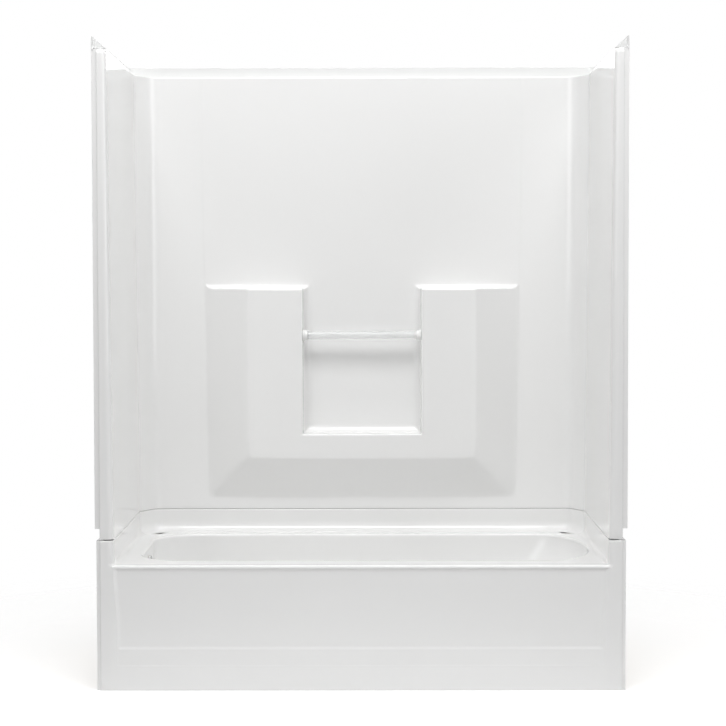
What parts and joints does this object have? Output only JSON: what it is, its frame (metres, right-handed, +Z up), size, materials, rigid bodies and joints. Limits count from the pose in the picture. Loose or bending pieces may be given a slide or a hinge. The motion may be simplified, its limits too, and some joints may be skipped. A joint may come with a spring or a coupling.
{
  "type": "bathtub and shower surround",
  "caption": "White alcove bath with integral apron and a three-wall shower surround with shelf block, niche and bar.",
  "frame": {"origin": "centre of the bounding box in X and Y, on the floor", "axes": "+Z up, +Y towards the back wall, +X to the right seen from the open front"},
  "size_m": [1.524, 0.813, 1.867],
  "materials": {
    "gelcoat": "gloss",
    "bar": "gloss",
    "steel": "satin",
    "gasket": "matt",
    "plywood": "matt",
    "timber": "matt"
  },
  "bodies": {
    "root": {"tub_basin": "gelcoat", "tub_deck": "gelcoat", "tub_apron": "gelcoat", "surround_shell": "gelcoat", "niche_bar": "bar", "bar_socket_left": "bar", "bar_socket_right": "bar", "bar_screws": "steel", "seam_gasket": "gasket", "seam_bolts": "steel", "seam_washers": "steel", "seam_nuts": "steel", "floor_core": "plywood", "bearer_front": "timber", "bearer_middle": "timber", "bearer_rear": "timber", "apron_stiffener": "plywood", "rim_batten_front": "timber", "front_legs": "timber", "deck_batten_back": "timber", "back_legs": "timber", "side_rail_left": "timber", "side_rail_right": "timber", "side_legs": "timber", "left_wall_backer": "plywood", "right_wall_backer": "plywood", "upper_back_backer": "plywood", "lower_back_battens": "timber", "shelf_backer_left": "plywood", "shelf_backer_right": "plywood", "top_ledge_batten": "timber", "column_post_left": "timber", "column_post_right": "timber"}
  },
  "joints": []
}
